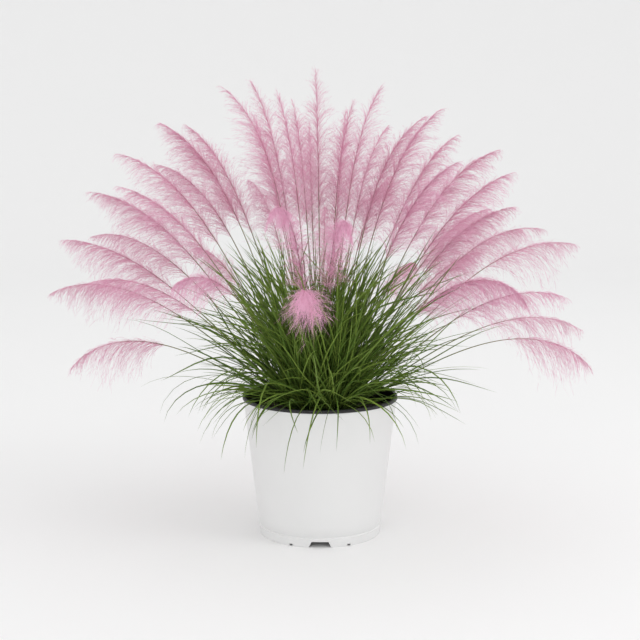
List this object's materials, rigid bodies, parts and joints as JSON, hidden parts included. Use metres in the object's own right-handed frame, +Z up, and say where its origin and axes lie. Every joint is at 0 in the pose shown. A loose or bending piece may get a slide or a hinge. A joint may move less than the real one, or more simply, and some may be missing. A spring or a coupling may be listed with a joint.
{
  "type": "potted muhly grass",
  "caption": "Nursery pot of ornamental grass: narrow arching green leaves under feathery pink flower plumes, standing on the pot's flat base.",
  "frame": {"origin": "middle of the underside of the pot's base, on the surface that it stands on", "axes": "+Z up along the pot's axis, +X to the right of the pictured view, -Y towards its viewer"},
  "size_m": [0.8064, 0.6543, 0.6881],
  "materials": {
    "pot_plastic": "satin",
    "peat_mix": "matte",
    "leaf_blade": "satin",
    "flower_plume": "matte"
  },
  "bodies": {
    "root": {"pot": "pot_plastic", "potting_mix": "peat_mix", "leaf_tuft_01": "leaf_blade", "leaf_tuft_02": "leaf_blade", "leaf_tuft_03": "leaf_blade", "leaf_tuft_04": "leaf_blade", "leaf_tuft_05": "leaf_blade", "leaf_tuft_06": "leaf_blade", "leaf_tuft_07": "leaf_blade", "leaf_tuft_08": "leaf_blade", "leaf_tuft_09": "leaf_blade", "leaf_tuft_10": "leaf_blade", "leaf_tuft_11": "leaf_blade", "plume_01": "flower_plume", "plume_02": "flower_plume", "plume_03": "flower_plume", "plume_04": "flower_plume", "plume_05": "flower_plume", "plume_06": "flower_plume", "plume_07": "flower_plume", "plume_08": "flower_plume", "plume_09": "flower_plume", "plume_10": "flower_plume", "plume_11": "flower_plume", "plume_12": "flower_plume", "plume_13": "flower_plume", "plume_14": "flower_plume", "plume_15": "flower_plume", "plume_16": "flower_plume", "plume_17": "flower_plume", "plume_18": "flower_plume", "plume_19": "flower_plume", "plume_20": "flower_plume", "plume_21": "flower_plume", "plume_22": "flower_plume", "plume_23": "flower_plume", "plume_24": "flower_plume", "plume_25": "flower_plume", "plume_26": "flower_plume", "plume_27": "flower_plume", "plume_28": "flower_plume", "plume_29": "flower_plume", "plume_30": "flower_plume", "plume_31": "flower_plume", "plume_32": "flower_plume", "plume_33": "flower_plume", "plume_34": "flower_plume", "plume_35": "flower_plume", "plume_36": "flower_plume", "plume_37": "flower_plume", "plume_38": "flower_plume", "plume_39": "flower_plume", "plume_40": "flower_plume", "plume_41": "flower_plume", "plume_42": "flower_plume", "plume_43": "flower_plume", "plume_44": "flower_plume", "plume_45": "flower_plume", "plume_46": "flower_plume"}
  },
  "joints": []
}
